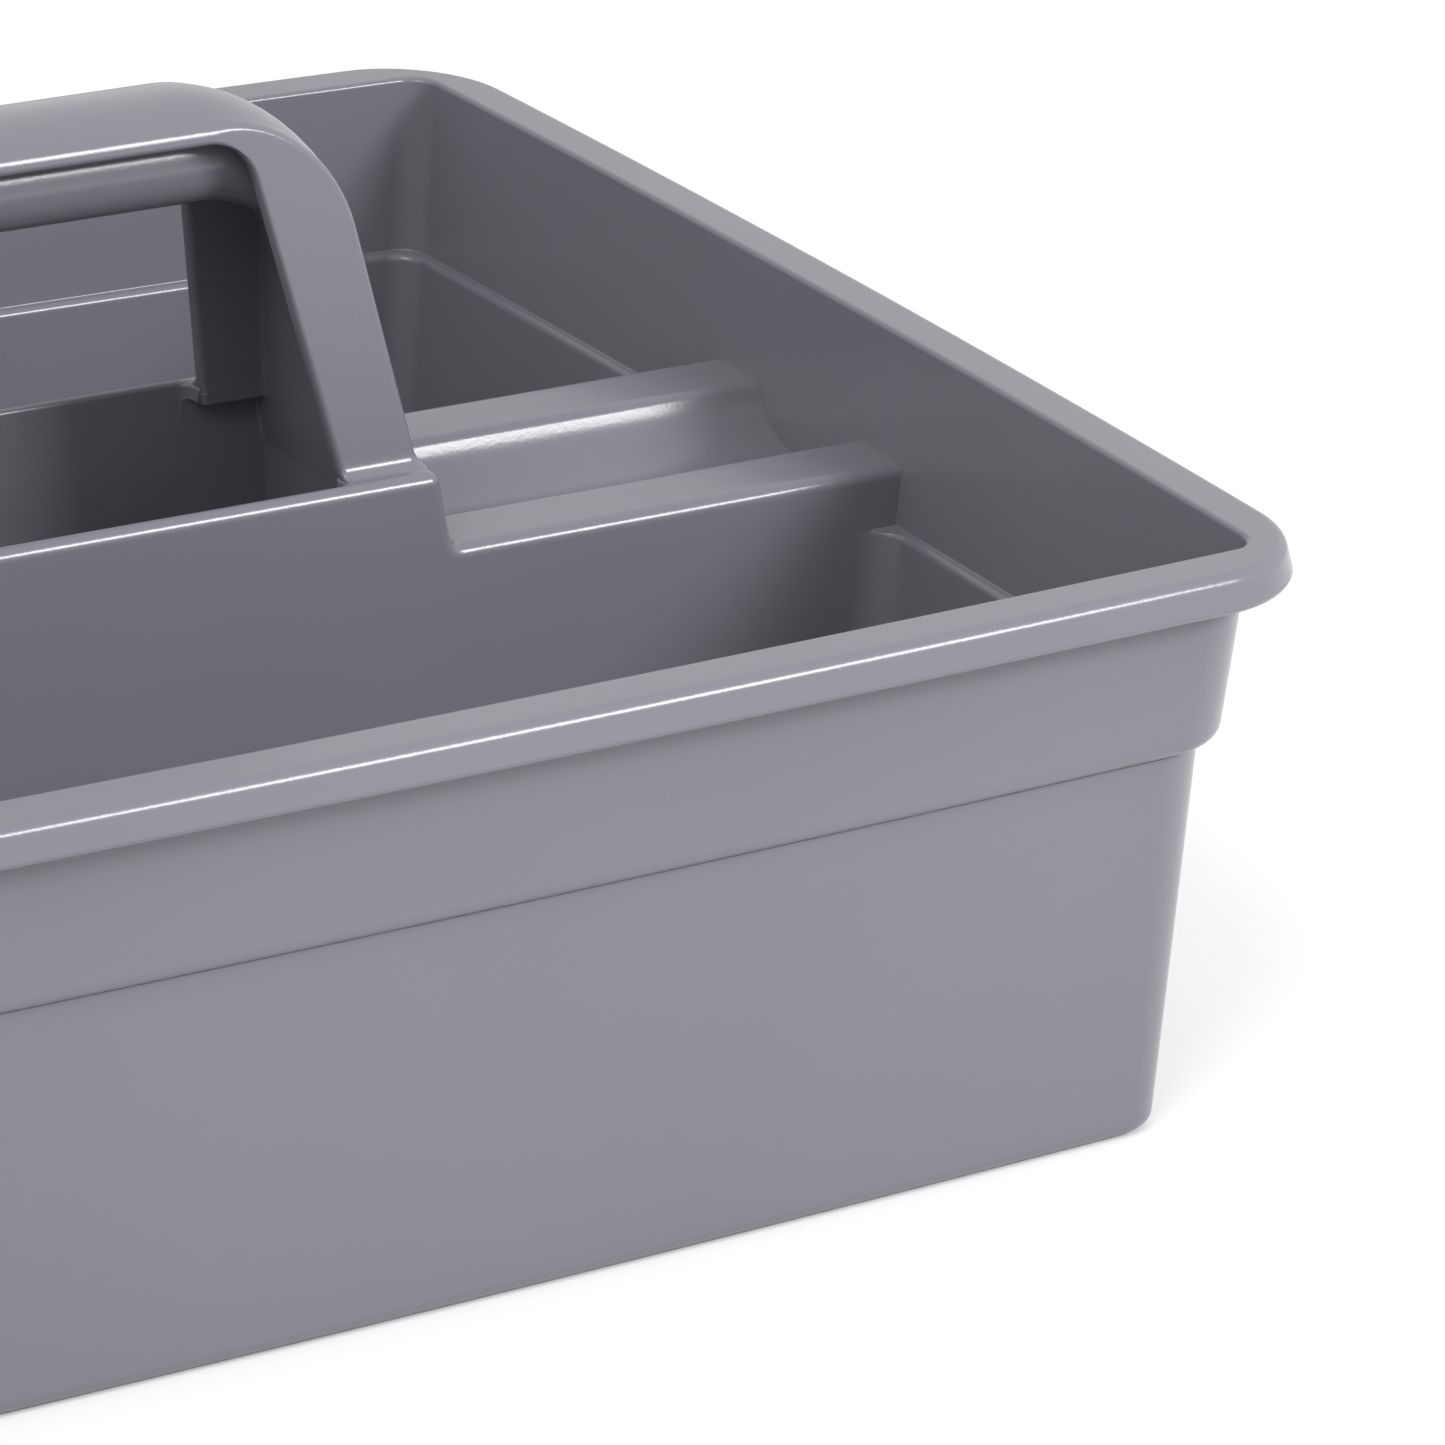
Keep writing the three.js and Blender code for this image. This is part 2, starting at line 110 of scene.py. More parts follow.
BOX_TOP = corner_mm("handle_base", HIGH, "z")
BOX_HALF_TOP = 105.2
BOX_SLOPE = 0.213               # lean of its ends per unit of height
BOX_FILLET = 2.2                # where its ends meet the trough
BOX_END_EDGE = 2.4              # rounding along the top of its ends
END_WALL_FOOT = 60.0            # how low its end walls hang inside the rib

HANDLE_TOP = corner_mm("handle_arch", HIGH, "z")
ARCH_TOP = HANDLE_TOP - 1.5     # height of the arch's long edges
ARCH_FOOT_HALF = 103.9
ARCH_SLOPE = 0.2095
ARCH_CORNER = 25.0
ARCH_EDGE = 1.9                 # rounding of the arch's long edges
WINDOW_TOP = 151.9
WINDOW_FOOT_HALF = 89.0
WINDOW_SLOPE = 0.2305
WINDOW_CORNER = 8.0
WINDOW_EDGE = 1.1               # rounding of the plates round the window
PLATE_FOOT_Y = 24.7             # outer face of a side plate at its foot
PLATE_TOP_Y = 12.0              # and at the arch's long edges
PLATE_LEAN = (PLATE_FOOT_Y - PLATE_TOP_Y) / (ARCH_TOP - BOX_TOP)
PLATE = 3.0
PLATE_FILLET = 2.0              # where the plates stand on the box
SKIN = 3.0
SKIN_CORNER = 1.0               # inside corner between a plate and the skin

GRIP_RADIUS = 7.4
GRIP_HEIGHT = 145.9
GRIP_FILLET = 23.0              # radius of its underside where it turns down into a leg
GRIP_COVER = 1.8                # skin left over the grip's ends
GRIP_SINK = 0.9                 # how far its ends reach into the side plates
GRIP_SQUARE = 0.55              # how square its section gets, from 0 to 1, at its ends

HIDDEN = 0.03                   # how deep a flared edge dips under the face that it joins


# ---- mesh helpers -------------------------------------------------------------------------------

def arc(u, v, radius, start, end, steps):
    """Points of an arc, angles in degrees, both ends included."""
    points = []
    for k in range(steps + 1):
        angle = math.radians(start + (end - start) * k / steps)
        points.append((u + radius * math.cos(angle), v + radius * math.sin(angle)))
    return points


def spread(start, end, steps):
    """Evenly spaced values after start, up to and including end."""
    return [start + (end - start) * (k + 1) / steps for k in range(steps)]


def cap_triangles(ring):
    """Triangles that close a nearly flat ring, found in the plane where it is widest."""
    spans = [max(p[axis] for p in ring) - min(p[axis] for p in ring) for axis in range(3)]
    u, v = [axis for axis in range(3) if axis != spans.index(min(spans))]
    return tessellate_polygon([[Vector((p[u], p[v], 0)) for p in ring]])


def loft(name, rings, wrap=False):
    """Joins rings of equal count into a closed mesh: wrapped round, or with flat caps."""
    count = len(rings[0])
    mesh = bmesh.new()
    grid = [[mesh.verts.new([c * MM for c in point]) for point in ring] for ring in rings]
    pairs = list(zip(grid, grid[1:]))
    if wrap:
        pairs.append((grid[-1], grid[0]))
    for low, high in pairs:
        for i in range(count):
            j = (i + 1) % count
            mesh.faces.new((low[i], low[j], high[j], high[i]))
    if not wrap:
        for row, ring in ((grid[0], rings[0]), (grid[-1], rings[-1])):
            for triangle in cap_triangles(ring):
                mesh.faces.new([row[i] for i in triangle])
    bmesh.ops.remove_doubles(mesh, verts=mesh.verts, dist=1e-6)
    bmesh.ops.recalc_face_normals(mesh, faces=mesh.faces)
    data = bpy.data.meshes.new(name)
    mesh.to_mesh(data)
    mesh.free()
    piece = bpy.data.objects.new(name, data)
    bpy.context.scene.collection.objects.link(piece)
    return piece


def carve(piece, cutter, operation="DIFFERENCE"):
    """Cuts one closed mesh out of another, or joins it on, and removes the second."""
    cut = piece.modifiers.new("cut", "BOOLEAN")
    cut.operation = operation
    cut.solver = "EXACT"
    cut.object = cutter
    bpy.context.view_layer.objects.active = piece
    bpy.ops.object.modifier_apply(modifier=cut.name)
    bpy.data.objects.remove(cutter, do_unlink=True)


def finish_piece(piece, material, nodes, crease=32):
    """Smooth shading with true creases, the finish, and the piece's place in the frame."""
    piece.data.materials.clear()
    piece.data.materials.append(material)
    piece.data.shade_smooth()
    piece.data.set_sharp_from_angle(angle=math.radians(crease))
    even = piece.modifiers.new("even_normals", "WEIGHTED_NORMAL")
    even.keep_sharp = True
    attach(piece, "root")
    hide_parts(*nodes)


# ---- tub ----------------------------------------------------------------------------------------

def bulge(x, y):
    """The sides of the plan bulge smoothly, most at the middle of each side."""
    along_x = 1 - (x / HALF_X) ** 2
    along_y = 1 - (y / HALF_Y) ** 2
    return x * (1 + END_BOW * along_y / HALF_X), y * (1 + SIDE_BOW * along_x / HALF_Y)


def plan_outline(inset, radius, corner_steps=14, long_steps=36, short_steps=26):
    """Rounded rectangle with bulging sides, anticlockwise, same count for every inset."""
    a = HALF_X - inset - radius
    b = HALF_Y - inset - radius
    centres = [(a, -b), (a, b), (-a, b), (-a, -b)]
    points = []
    for i, (cx, cy) in enumerate(centres):
        corner = arc(cx, cy, radius, -90 + 90 * i, 90 * i, corner_steps)
        nx, ny = centres[(i + 1) % 4]
        steps = long_steps if i % 2 else short_steps
        shift = ((nx - cx) / steps, (ny - cy) / steps)
        side = [(corner[-1][0] + shift[0] * k, corner[-1][1] + shift[1] * k)
                for k in range(1, steps)]
        points += corner + side
    return [bulge(x, y) for x, y in points]


def level(inset, z, radius):
    return [(x, y, z) for x, y in plan_outline(inset, radius)]


def inner_profile():
    """(inset, z) down the inside of the tub, from under the rim to the flat of the floor."""
    band_foot = BAND_FOOT_INSET + WALL + 0.7
    lower_top = LOWER_TOP_INSET + WALL - 0.3
    base = BASE_INSET + WALL
    return ([(band_foot, LEDGE + LEDGE_ROOT)]
            + arc(band_foot + LEDGE_ROOT, LEDGE + LEDGE_ROOT, LEDGE_ROOT, 190, 270, 4)
            + arc(lower_top - LEDGE_NOSE, LEDGE - LEDGE_NOSE, LEDGE_NOSE, 90, 2, 6)
            + arc(base + FLOOR_EDGE, WALL + FLOOR_EDGE, FLOOR_EDGE, 178, 270, 12))


def slot_level(z, outline):
    """The slot under the rib, with the same count of points as the plan outline around it."""
    return [(max(-SLOT_HALF_X, min(SLOT_HALF_X, x)), max(-SLOT_HALF_Y, min(SLOT_HALF_Y, y)), z)
            for x, y, _ in outline]


def make_tub():
    web_under = RIM_TOP - RIM_WEB
    lean = math.degrees(math.atan(RIM_DRAFT / (RIM_TOP - RIM_LIP)))
    # profiles are lists of (inset, z), from the base's edge over the rim to the floor
    outside = (
        arc(BASE_INSET + BASE_EDGE, BASE_EDGE, BASE_EDGE, 270, 182, 8)
        + [(LOWER_TOP_INSET, STEP_HEIGHT - 1.2)]
        + arc(LOWER_TOP_INSET - STEP_ROOT, STEP_HEIGHT - STEP_ROOT, STEP_ROOT, 0, 90, 3)
        + arc(BAND_FOOT_INSET + STEP_EDGE, STEP_HEIGHT + STEP_EDGE, STEP_EDGE, 255, 182, 8)
        + [(BAND_TOP_INSET, web_under - RIM_ROOT)]
        + arc(BAND_TOP_INSET - RIM_ROOT, web_under - RIM_ROOT, RIM_ROOT, 0, 90, 4))
    rim = ([(WALL + RIM_DRAFT, web_under), (WALL, RIM_LIP + LIP_EDGE)]
           + arc(LIP_EDGE, RIM_LIP + LIP_EDGE, LIP_EDGE, 360, 180 + lean, 10)
           + arc(RIM_DRAFT + RIM_EDGE, RIM_TOP - RIM_EDGE, RIM_EDGE, 180 - lean, 90, 8))
    inside = (arc(RIM_REACH - RIM_INNER_EDGE, RIM_TOP - RIM_INNER_EDGE, RIM_INNER_EDGE, 90, 2, 6)
              + inner_profile())
    rings = []
    for inset, z in outside:
        share = min(max((z - BASE_EDGE) / (STEP_HEIGHT - BASE_EDGE), 0.0), 1.0)
        rings.append(level(inset, z, BASE_CORNER + (WALL_CORNER - BASE_CORNER) * share))
    rings += [level(inset, z, RIM_CORNER - inset) for inset, z in rim]
    rings += [level(inset, z, INNER_CORNER) for inset, z in inside]
    rings.append(slot_level(WALL, rings[-1]))
    rings.append(slot_level(0, rings[0]))
    return loft("tub_body", rings, wrap=True)


def end_wall_x(z, y):
    """Where the inside of the end wall stands, at a height and a distance from the middle."""
    profile = [(RIM_REACH, RIM_TOP)] + inner_profile()
    inset = profile[-1][0]
    for (inset_a, z_a), (inset_b, z_b) in zip(profile, profile[1:]):
        if z_a >= z >= z_b:
            share = (z_a - z) / max(z_a - z_b, 1e-6)
            inset = inset_a + (inset_b - inset_a) * share
            break
    return bulge(HALF_X - inset, y)[0]


# ---- centre rib and raised box ------------------------------------------------------------------

def rib_half(z):
    return RIB_HALF + RIB_DRAFT * (RIB_TOP - z)


def trough_half(depth):
    """(y, drop below the rib's top) from the middle of the trough to its lip's outer end."""
    radius = TROUGH_RADIUS + depth
    lip = max(TROUGH_LIP - depth, 0.4)
    centre = TROUGH_FLOOR + TROUGH_RADIUS - RIB_TOP
    # the lip's arc is tangent to the trough's arc and to the flat top
    meet = math.degrees(math.acos((centre + depth + lip) / (radius + lip)))
    lip_y = (radius + lip) * math.sin(math.radians(meet))
    trough = [(0.0, radius - centre - depth)]
    trough += [(TROUGH_FLAT + radius * math.sin(math.radians(meet * k / 12)),
                radius * math.cos(math.radians(meet * k / 12)) - centre - depth)
               for k in range(13)]
    rounding = [(TROUGH_FLAT + lip_y - lip * math.sin(math.radians(meet * (1 - k / 5))),
                 lip - lip * math.cos(math.radians(meet * (1 - k / 5))))
                for k in range(1, 6)]
    return trough + rounding


def end_profile(low, depth):
    """(x, z, normal) along the middle: flat at a low height, up the box's end, flat at its top."""
    top = BOX_TOP - depth
    tilt = math.atan(BOX_SLOPE)
    face = BOX_HALF_TOP - 1.4 * depth
    concave = BOX_FILLET + depth
    convex = max(BOX_END_EDGE - depth, 0.8)

    def face_x(z):
        return face + BOX_SLOPE * (BOX_TOP - z)

    foot_x = face_x(low + concave) + concave / math.cos(tilt)
    crown_x = face_x(top - convex) - convex / math.cos(tilt)
    degrees = math.degrees(tilt)
    foot = arc(foot_x, low + concave, concave, 270, 180 + degrees, 8)
    crown = arc(crown_x, top - convex, convex, degrees, 90, 7)
    points = [(x, z, (foot_x - x) / concave, (low + concave - z) / concave) for x, z in foot]
    points += [(foot[-1][0] + (crown[0][0] - foot[-1][0]) * k / 5,
                foot[-1][1] + (crown[0][1] - foot[-1][1]) * k / 5,
                math.cos(tilt), math.sin(tilt)) for k in range(1, 5)]
    points += [(x, z, (x - crown_x) / convex, (z - top + convex) / convex) for x, z in crown]
    return points


def flare(distance, radius):
    """How far a fillet of some radius stands off a face, near the wall that it joins."""
    if distance >= radius:
        return 0.0
    return radius - math.sqrt(radius ** 2 - (radius - max(distance, 0)) ** 2)


def rib_flare_radius(z):
    """The rib meets the end walls sharply above the ledge and in a round corner below it."""
    return 0.0 if z > LEDGE - 0.3 else RIB_FLARE


def wall_heights():
    """Heights of the side's points: even, with extra ones at the ledge."""
    low = WALL + FLOOR_EDGE
    return (spread(RIB_TOP - 3, LEDGE + 1, 3) + [LEDGE + 0.1, LEDGE - 0.35, LEDGE - 1]
            + spread(LEDGE - 1, low + 1, 12))


def half_section(index, depth, solid):
    """Half of one ring, from the middle of the top to the foot: a list of [x, y, z].

    index counts the points of end_profile. Depth is how far the ring lies under the surface.
    """
    x0, z0, nx, nz = end_profile(RIB_TOP - depth, depth)[index]
    edge = max(RIB_EDGE - depth * 0.6, 0.5)
    side_x = x0 - edge * nx
    side_z = z0 - edge * nz
    edge_y = rib_half(side_z) - depth - edge
    tops = trough_half(depth)
    tops += [(y, 0) for y in spread(tops[-1][0], edge_y, 5)]
    ring = []
    for y, drop in tops:
        x, z, _, _ = end_profile(RIB_TOP - depth - drop, depth)[index]
        ring.append([x, y, z])
    for k in range(1, 7):
        angle = math.radians(15 * k)
        sink = edge * (1 - math.cos(angle))
        ring.append([x0 - nx * sink, edge_y + edge * math.sin(angle), z0 - nz * sink])
    if not solid:
        return ring + [[side_x, rib_half(z) - depth, z] for z in spread(side_z, -2, 14)]
    above_ledge = LEDGE + 0.5
    for z in wall_heights():
        if z0 > RIB_TOP - depth + 0.01 and z > above_ledge:
            # the side is taller here, so its upper points share out the extra height
            share = (z - above_ledge) / (RIB_TOP - above_ledge)
            z = above_ledge + share * (side_z + edge - above_ledge)
        ring.append([side_x, rib_half(z), z])
    foot_y = rib_half(WALL + FLOOR_EDGE) + FLOOR_EDGE
    for y, z in arc(foot_y, WALL + FLOOR_EDGE, FLOOR_EDGE, 180, 270, 9):
        ring.append([side_x, y, z - HIDDEN])
    ring.append([side_x, foot_y + 1, WALL / 2])
    ring.append([side_x, SLOT_HALF_Y + 0.6, 0.02])
    return ring


def whole_ring(half):
    """Mirrors half a section in y and closes it through the foot."""
    return half + [(x, -y, z) for x, y, z in reversed(half[1:])]


def moved_to(x, half):
    return whole_ring([(x, y, z) for _, y, z in half])


def pushed_to_wall(half, from_wall):
    """Moves half a ring to a distance from the end wall, flared out where the two meet."""
    moved = []
    for i, (_, y, z) in enumerate(half):
        before = half[max(i - 1, 0)]
        after = half[min(i + 1, len(half) - 1)]
        ty, tz = after[1] - before[1], after[2] - before[2]
        length = math.hypot(ty, tz)
        ny, nz = (0.0, 1.0) if i == 0 else (-tz / length, ty / length)
        if z < WALL - 2 * HIDDEN:
            # the hidden underside of the foot only follows it sideways
            ny, nz = (1.0, 0.0) if z > 1 else (0.0, 0.0)
        out = flare(from_wall, rib_flare_radius(z))
        y2 = y + ny * out
        z2 = z + nz * out
        moved.append((end_wall_x(max(z2, WALL + FLOOR_EDGE), y2) - from_wall, y2, z2))
    return whole_ring(moved)


# distances to the end wall, closest together where the flare curves most
FLARE_STATIONS = (-1.6, 0.0, 0.08, 0.25, 0.6, 1.2, 2.0, 3.0, 4.4, 6.0, 9.0)


def centre_solid(name, depth, solid):
    """The rib and its raised box as one closed solid, or the room inside them."""
    base = half_section(0, depth, solid)
    if solid:
        rings = [pushed_to_wall(base, distance) for distance in FLARE_STATIONS]
        start = end_wall_x(RIB_TOP, 0) - 18
    else:
        start = end_wall_x(WALL + FLOOR_EDGE, 0) - 1
        rings = [moved_to(start, base)]
    near_box = end_profile(RIB_TOP, depth)[0][0] + 4
    for k in range(1, 8):
        rings.append(moved_to(start + (near_box - start) * k / 8, base))
    for index in range(len(end_profile(RIB_TOP, depth))):
        half = half_section(index, depth, solid)
        rings.append(whole_ring(half))
    last_x = half[0][0]
    for k in range(1, 7):
        rings.append(moved_to(last_x * (1 - k / 6), half))
    mirror = [[(-x, y, z) for x, y, z in ring] for ring in reversed(rings[:-1])]
    return loft(name, rings + mirror)


def hole_cutter(half_x, half_y, low, top, corner=2.5, edge=1.0, lean=(0.0, 0.0)):
    """A hole through the top of the box, its upper edge rounded over and its sides leaning."""
    levels = [(0.0, low)]
    for angle in (0, 18, 36, 54, 72, 88):
        levels.append((edge - edge * math.cos(math.radians(angle)),
                       top - edge + edge * math.sin(math.radians(angle))))
    levels.append((levels[-1][0], top + 3))
    rings = []
    for grow, z in levels:
        a = half_x + grow - corner + lean[0] * (top - z)
        b = half_y + grow - corner + lean[1] * (top - z)
        ring = []
        for i, (cx, cy) in enumerate([(a, -b), (a, b), (-a, b), (-a, -b)]):
            ring += [(x, y, z) for x, y in arc(cx, cy, corner, -90 + 90 * i, 90 * i, 6)]
        rings.append(ring)
    return loft("hole", rings)


def bar_across(name, side, section, half_y):
    """A bar along y with a section given as (x, z), on the right or the left."""
    return loft(name, [[(side * x, y, z) for x, z in section] for y in (-half_y, half_y)])


def end_wall_skirt(side):
    """The part of the box's end wall that hangs below the trough, inside the rib."""
    # down the inner face, then up the outer one
    section = [(102.8, 88.0), (103.93, RIB_TOP), (105.0, 71.0), (105.1, END_WALL_FOOT),
               (108.0, END_WALL_FOOT), (108.0, 71.0), (107.2, 80.0), (105.0, 88.0)]
    return bar_across("skirt", side, section, RIB_HALF - WALL + 1.6)


def leg_root(side):
    """A wedge that carries a leg's inner face down into the box's end wall."""
    low = BOX_TOP - 8.1
    high = BOX_TOP - WALL + 1
    outer_x = BOX_HALF_TOP - 1.2
    section = [(ARCH_FOOT_HALF - SKIN + 0.05 + ARCH_SLOPE * (BOX_TOP - z), z)
               for z in (low, high)] + [(outer_x, high), (outer_x, low)]
    return bar_across("leg_root", side, section, RIB_HALF - WALL + 0.3)


def make_centre():
    piece = centre_solid("centre_rib", 0.0, True)
    carve(piece, centre_solid("room", WALL, False))
    # the hollow legs open into the box, and the window's well goes right through it
    carve(piece, hole_cutter(ARCH_FOOT_HALF - SKIN + 1, PLATE_FOOT_Y - PLATE + 1, 91, BOX_TOP,
                             2.0, 0.3, (ARCH_SLOPE, PLATE_LEAN)))
    carve(piece, hole_cutter(WINDOW_FOOT_HALF, RIB_HALF - WALL, -2, BOX_TOP))
    for side in (-1, 1):
        carve(piece, leg_root(side), "UNION")
        carve(piece, end_wall_skirt(side), "UNION")
    return piece


# ---- arch handle --------------------------------------------------------------------------------

LEG_STEPS, CORNER_STEPS, TOP_STEPS = 14, 16, 22


def leg_path(foot_half, slope, top, corner):
    """(x, z, angle of the outward normal) from a right leg's foot up to the middle of the top."""
    tilt = math.atan(slope)
    reach = foot_half + slope * (BOX_TOP - top)
    centre_x = reach + slope * corner - corner / math.cos(tilt)
    bend = arc(centre_x, top - corner, corner, math.degrees(tilt), 90, CORNER_STEPS)
    points = []
    for k in range(LEG_STEPS):
        share = k / LEG_STEPS
        points.append((foot_half + (bend[0][0] - foot_half) * share,
                       BOX_TOP + (bend[0][1] - BOX_TOP) * share, tilt))
    for k, (x, z) in enumerate(bend):
        points.append((x, z, tilt + (math.pi / 2 - tilt) * k / CORNER_STEPS))
    for k in range(1, TOP_STEPS + 1):
        points.append((centre_x * (1 - k / TOP_STEPS), top, math.pi / 2))
    return points


def plate_y(z):
    """Outer face of the leaning side plates."""
    return PLATE_TOP_Y + PLATE_LEAN * (ARCH_TOP - z)


def arch_ring(outer, window, foot_flare=0.0, foot_reach=0.0):
    """One closed channel section, from a point of the outer outline and one of the window's.

    At the foot the outer faces are flared by foot_flare in y and foot_reach in x.
    """
    ox, oz, angle = outer
    wx, wz, _ = window
    ox += foot_reach
    out_x, out_z = math.cos(angle), math.sin(angle)
    in_x, in_z = wx - ox, wz - oz
    reach = math.hypot(in_x, in_z)
    in_x, in_z = in_x / reach, in_z / reach
    window_lip = reach - WINDOW_EDGE

    def at(inward, y_in):
        x = ox + in_x * inward
        z = oz + in_z * inward
        outer_share = 1.0 if inward < reach / 2 and y_in < PLATE else 1 - y_in / PLATE
        return [x, plate_y(z) - y_in + foot_flare * max(outer_share, 0.0), z]

    half = []
    # crowned skin, from the middle to the edge
    half_width = plate_y(oz) - ARCH_EDGE + foot_flare
    for k in range(9):
        share = k / 8
        lift = (HANDLE_TOP - ARCH_TOP) * (1 - share ** 2)
        half.append([ox + out_x * lift, half_width * share, oz + out_z * lift])
    # rounded long edge, then the plate's outer face
    for k in range(1, 6):
        a = math.radians(18 * k)
        half.append(at(ARCH_EDGE * (1 - math.cos(a)), ARCH_EDGE * (1 - math.sin(a))))
    for share in (0.25, 0.5, 0.75, 1.0):
        half.append(at(ARCH_EDGE + (window_lip - ARCH_EDGE) * share, 0.0))
    # rounded lip at the window, outside and inside
    for k in range(1, 5):
        a = math.radians(22.5 * k)
        half.append(at(window_lip + WINDOW_EDGE * math.sin(a), WINDOW_EDGE * (1 - math.cos(a))))
    for k in range(1, 5):
        a = math.radians(22.5 * k)
        half.append(at(window_lip + WINDOW_EDGE * math.cos(a),
                       PLATE - WINDOW_EDGE * (1 - math.sin(a))))
    # inside of the plate, the corner under the skin, and the skin's inner face
    skin = min(SKIN, reach * 0.45) + foot_reach
    corner = skin + SKIN_CORNER
    for share in (0.35, 0.7, 1.0):
        half.append(at(window_lip + (corner - window_lip) * share, PLATE))
    half.append(at(skin + 0.3 * SKIN_CORNER, PLATE + 0.3 * SKIN_CORNER))
    half.append(at(skin, PLATE + SKIN_CORNER))
    x, inner_y, z = half[-1]
    half += [[x, inner_y * share, z] for share in (0.66, 0.33, 0.0)]
    return half + [[x, -y, z] for x, y, z in reversed(half[1:-1])]


def foot_ring(height, foot_flare):
    """A ring near the foot, at a height above the box's top."""
    lean = math.atan(ARCH_SLOPE)
    z = BOX_TOP + height
    return arch_ring((ARCH_FOOT_HALF - ARCH_SLOPE * height, z, lean),
                     (WINDOW_FOOT_HALF - WINDOW_SLOPE * height, z, lean),
                     foot_flare, 0.6 * min(foot_flare, 1.2))


def make_arch():
    outer = leg_path(ARCH_FOOT_HALF, ARCH_SLOPE, ARCH_TOP, ARCH_CORNER)
    window = leg_path(WINDOW_FOOT_HALF, WINDOW_SLOPE, WINDOW_TOP, WINDOW_CORNER)
    fillet = PLATE_FILLET
    # the plates go on through the box's top, and the fillet starts just inside it
    rings = [foot_ring(-3.3, 0.0), foot_ring(-1.3, 0.0), foot_ring(-1.2, fillet),
             foot_ring(-0.05, fillet)]
    for angle in (15, 30, 45, 60, 75, 90):
        height = fillet * (1 - math.cos(math.radians(angle)))
        left = max(fillet ** 2 - (fillet - height) ** 2, 0)
        rings.append(foot_ring(height, fillet - math.sqrt(left)))
    rings += [arch_ring(*points) for points in zip(outer[1:], window[1:])]
    mirror = [[[-x, y, z] for x, y, z in ring] for ring in reversed(rings[:-1])]
    return loft("arch_handle", rings + mirror)


# ---- grip ---------------------------------------------------------------------------------------

BAR_STATIONS = (0, 20, 40, 56, 68)      # x along the straight bar


def grip_stations():
    """(lowest point, highest point, progress from the bar to the leg) along the right half."""
    tilt = math.atan(ARCH_SLOPE)
    turn = math.pi / 2 - tilt
    bar_low = GRIP_HEIGHT - GRIP_RADIUS
    bar_high = GRIP_HEIGHT + GRIP_RADIUS

    def skin_x(z, inward):
        return ARCH_FOOT_HALF - inward / math.cos(tilt) + ARCH_SLOPE * (BOX_TOP - z)

    low_z = bar_low - GRIP_FILLET
    low_x = skin_x(low_z, SKIN) - GRIP_FILLET / math.cos(tilt)
    # the upper side runs inside the arch's skin
    corner = ARCH_CORNER - GRIP_COVER
    corner_z = ARCH_TOP - GRIP_COVER - corner
    corner_x = skin_x(corner_z, GRIP_COVER) - corner / math.cos(tilt)
    upper_length = corner * turn + (corner_z - low_z) / math.cos(tilt)
    stations = [((x, bar_low), (x, bar_high), 0.0) for x in BAR_STATIONS]
    steps = 22
    for k in range(steps + 1):
        t = k / steps
        under = math.pi / 2 - turn * t
        along = upper_length * t
        upper = max(math.pi / 2 - along / corner, tilt)
        down = max(along - corner * turn, 0.0)
        low = (low_x + GRIP_FILLET * math.cos(under), low_z + GRIP_FILLET * math.sin(under))
        high_x = corner_x + corner * math.cos(upper) + down * math.sin(tilt)
        high_z = corner_z + corner * math.sin(upper) - down * math.cos(tilt)
        rise = (high_z - bar_high) * min(1.0, t * 3)
        stations.append((low, (high_x, bar_high + rise), t))
    return stations


def make_grip():
    """A round bar whose underside turns down in a fillet and fades into each leg's skin."""
    sides = 40
    rings = []
    for low, high, t in grip_stations():
        room = plate_y((low[1] + high[1]) / 2) - PLATE + GRIP_SINK
        blend = t * t * (3 - 2 * t)
        width = GRIP_RADIUS + (room - GRIP_RADIUS) * blend
        power = 1 - GRIP_SQUARE * blend
        ring = []
        for i in range(sides):
            angle = i / sides * 2 * math.pi
            c, s = math.cos(angle), math.sin(angle)
            across = math.copysign(abs(c) ** power, c)
            share = (1 + math.copysign(abs(s) ** power, s)) / 2
            ring.append((low[0] + (high[0] - low[0]) * share, width * across,
                         low[1] + (high[1] - low[1]) * share))
        rings.append(ring)
    mirror = [[(-x, y, z) for x, y, z in ring] for ring in reversed(rings[1:])]
    return loft("grip", mirror + rings)


# ---- material -----------------------------------------------------------------------------------

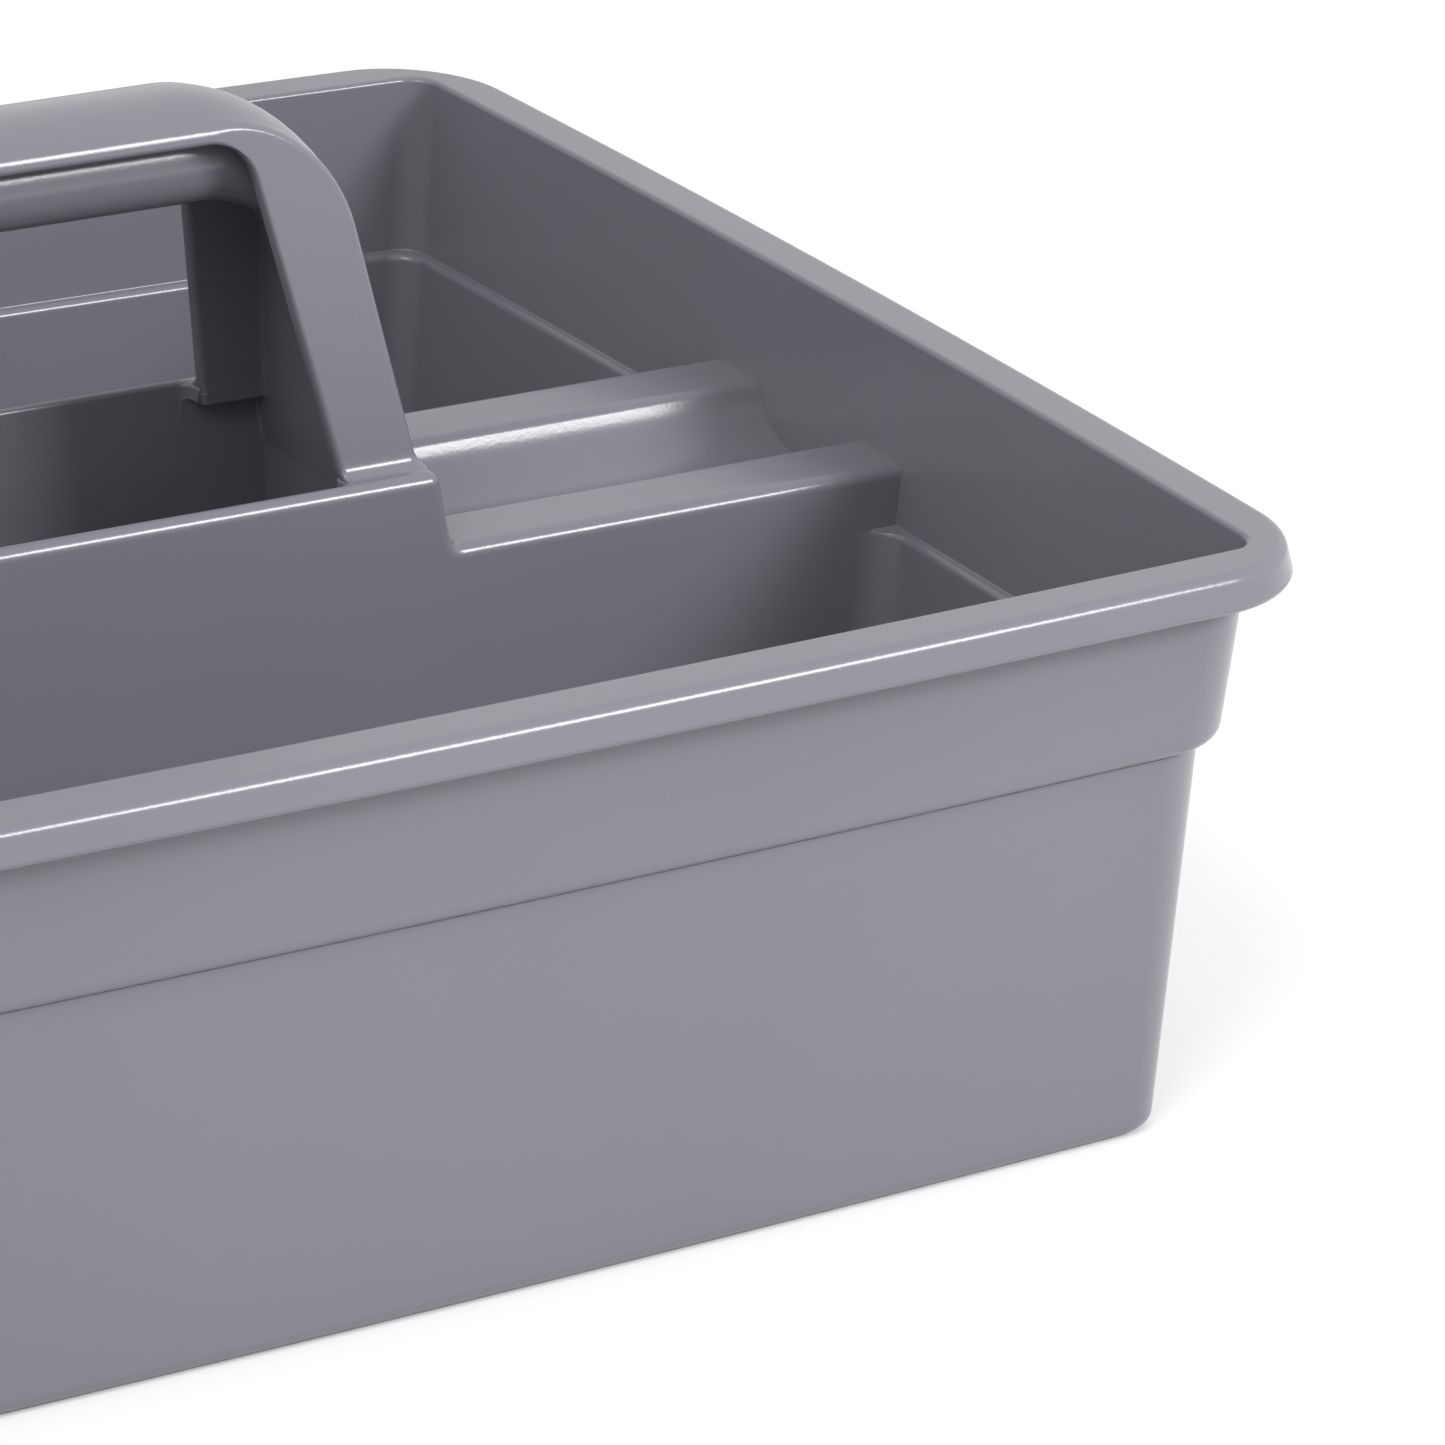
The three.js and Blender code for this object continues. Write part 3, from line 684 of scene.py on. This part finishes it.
def plastic():
    """Satin moulded plastic: faint colour drift, a fine grain, and soft wear in the gloss."""
    material = bpy.data.materials.new("grey_plastic")
    material.use_nodes = True
    tree = material.node_tree
    tree.nodes.clear()
    output = tree.nodes.new("ShaderNodeOutputMaterial")
    shader = tree.nodes.new("ShaderNodeBsdfPrincipled")
    shader.inputs["IOR"].default_value = 1.5
    shader.inputs["Specular IOR Level"].default_value = 0.44
    tree.links.new(shader.outputs["BSDF"], output.inputs["Surface"])
    place = tree.nodes.new("ShaderNodeTexCoord")

    def noise(scale, detail):
        node = tree.nodes.new("ShaderNodeTexNoise")
        node.inputs["Scale"].default_value = scale
        node.inputs["Detail"].default_value = detail
        tree.links.new(place.outputs["Object"], node.inputs["Vector"])
        return node.outputs["Fac"]

    def ramp(value, stops):
        node = tree.nodes.new("ShaderNodeValToRGB")
        tree.links.new(value, node.inputs["Fac"])
        for element, (position, colour) in zip(node.color_ramp.elements, stops):
            element.position = position
            element.color = (*colour, 1)
        return node.outputs["Color"]

    drift = ramp(noise(9, 3), [(0.3, (0.125, 0.126, 0.146)), (0.7, (0.136, 0.137, 0.157))])
    tree.links.new(drift, shader.inputs["Base Color"])

    gloss = tree.nodes.new("ShaderNodeMapRange")
    gloss.inputs["To Min"].default_value = 0.19
    gloss.inputs["To Max"].default_value = 0.26
    tree.links.new(noise(45, 5), gloss.inputs["Value"])
    tree.links.new(gloss.outputs["Result"], shader.inputs["Roughness"])

    grain = tree.nodes.new("ShaderNodeBump")
    grain.inputs["Strength"].default_value = 0.10
    grain.inputs["Distance"].default_value = 0.0002
    tree.links.new(noise(1400, 2), grain.inputs["Height"])
    ripple = tree.nodes.new("ShaderNodeBump")
    ripple.inputs["Strength"].default_value = 0.10
    ripple.inputs["Distance"].default_value = 0.002
    tree.links.new(noise(22, 2), ripple.inputs["Height"])
    tree.links.new(ripple.outputs["Normal"], grain.inputs["Normal"])
    tree.links.new(grain.outputs["Normal"], shader.inputs["Normal"])
    return material


# ---- stage, lights and camera -------------------------------------------------------------------

def make_stage():
    size = 6.0
    data = bpy.data.meshes.new("floor")
    data.from_pydata([(-size, -size, 0), (size, -size, 0), (size, size, 0), (-size, size, 0)],
                     [], [(0, 1, 2, 3)])
    floor = bpy.data.objects.new("floor", data)
    bpy.context.scene.collection.objects.link(floor)
    material = bpy.data.materials.new("floor")
    material.use_nodes = True
    shader = material.node_tree.nodes["Principled BSDF"]
    shader.inputs["Base Color"].default_value = (0.73, 0.73, 0.73, 1)
    shader.inputs["Roughness"].default_value = 0.9
    data.materials.append(material)


def area_light(name, place, target, size, power):
    data = bpy.data.lights.new(name, "AREA")
    data.shape = "RECTANGLE"
    data.size, data.size_y = size
    data.energy = power
    lamp = bpy.data.objects.new(name, data)
    lamp.location = place
    lamp.rotation_euler = (Vector(target) - Vector(place)).to_track_quat("-Z", "Y").to_euler()
    bpy.context.scene.collection.objects.link(lamp)


def make_lights():
    world = bpy.data.worlds.new("studio")
    world.use_nodes = True
    background = world.node_tree.nodes["Background"]
    background.inputs["Color"].default_value = (1, 1, 1, 1)
    background.inputs["Strength"].default_value = 0.98
    bpy.context.scene.world = world
    middle = (0.0, 0.0, 0.06)
    area_light("key", (0.8, -1.15, 0.87), middle, (0.6, 0.34), 20)
    area_light("fill", (-0.85, -0.6, 1.29), middle, (0.9, 0.9), 12.5)


def make_camera():
    azimuth = math.radians(-33.92)
    elevation = math.radians(22.58)
    roll = math.radians(3.09)
    distance = 1.3916
    target = Vector((0.1823, 0.0, 0.0269))
    back = Vector((math.sin(azimuth) * math.cos(elevation),
                   -math.cos(azimuth) * math.cos(elevation), math.sin(elevation)))
    level_right = Vector((math.cos(azimuth), math.sin(azimuth), 0.0))
    level_up = back.cross(level_right)
    right = math.cos(roll) * level_right + math.sin(roll) * level_up
    up = math.cos(roll) * level_up - math.sin(roll) * level_right
    data = bpy.data.cameras.new("camera")
    data.sensor_width = 36.0
    data.lens = 199.3
    camera = bpy.data.objects.new("camera", data)
    turn = Matrix((right, up, back)).transposed().to_4x4()
    camera.matrix_world = Matrix.Translation(target + back * distance) @ turn
    bpy.context.scene.collection.objects.link(camera)
    bpy.context.scene.camera = camera


# ---- build --------------------------------------------------------------------------------------

finish = plastic()
finish_piece(make_tub(), finish, ["tub_shell", "rim_flange"])
finish_piece(make_centre(), finish, ["left_trough_rib", "right_trough_rib", "handle_base"])
finish_piece(make_arch(), finish, ["handle_arch"])
finish_piece(make_grip(), finish, ["grip_bar"])
make_stage()
make_lights()
make_camera()
bpy.context.scene.view_settings.view_transform = "Standard"


bpy.context.view_layer.update()
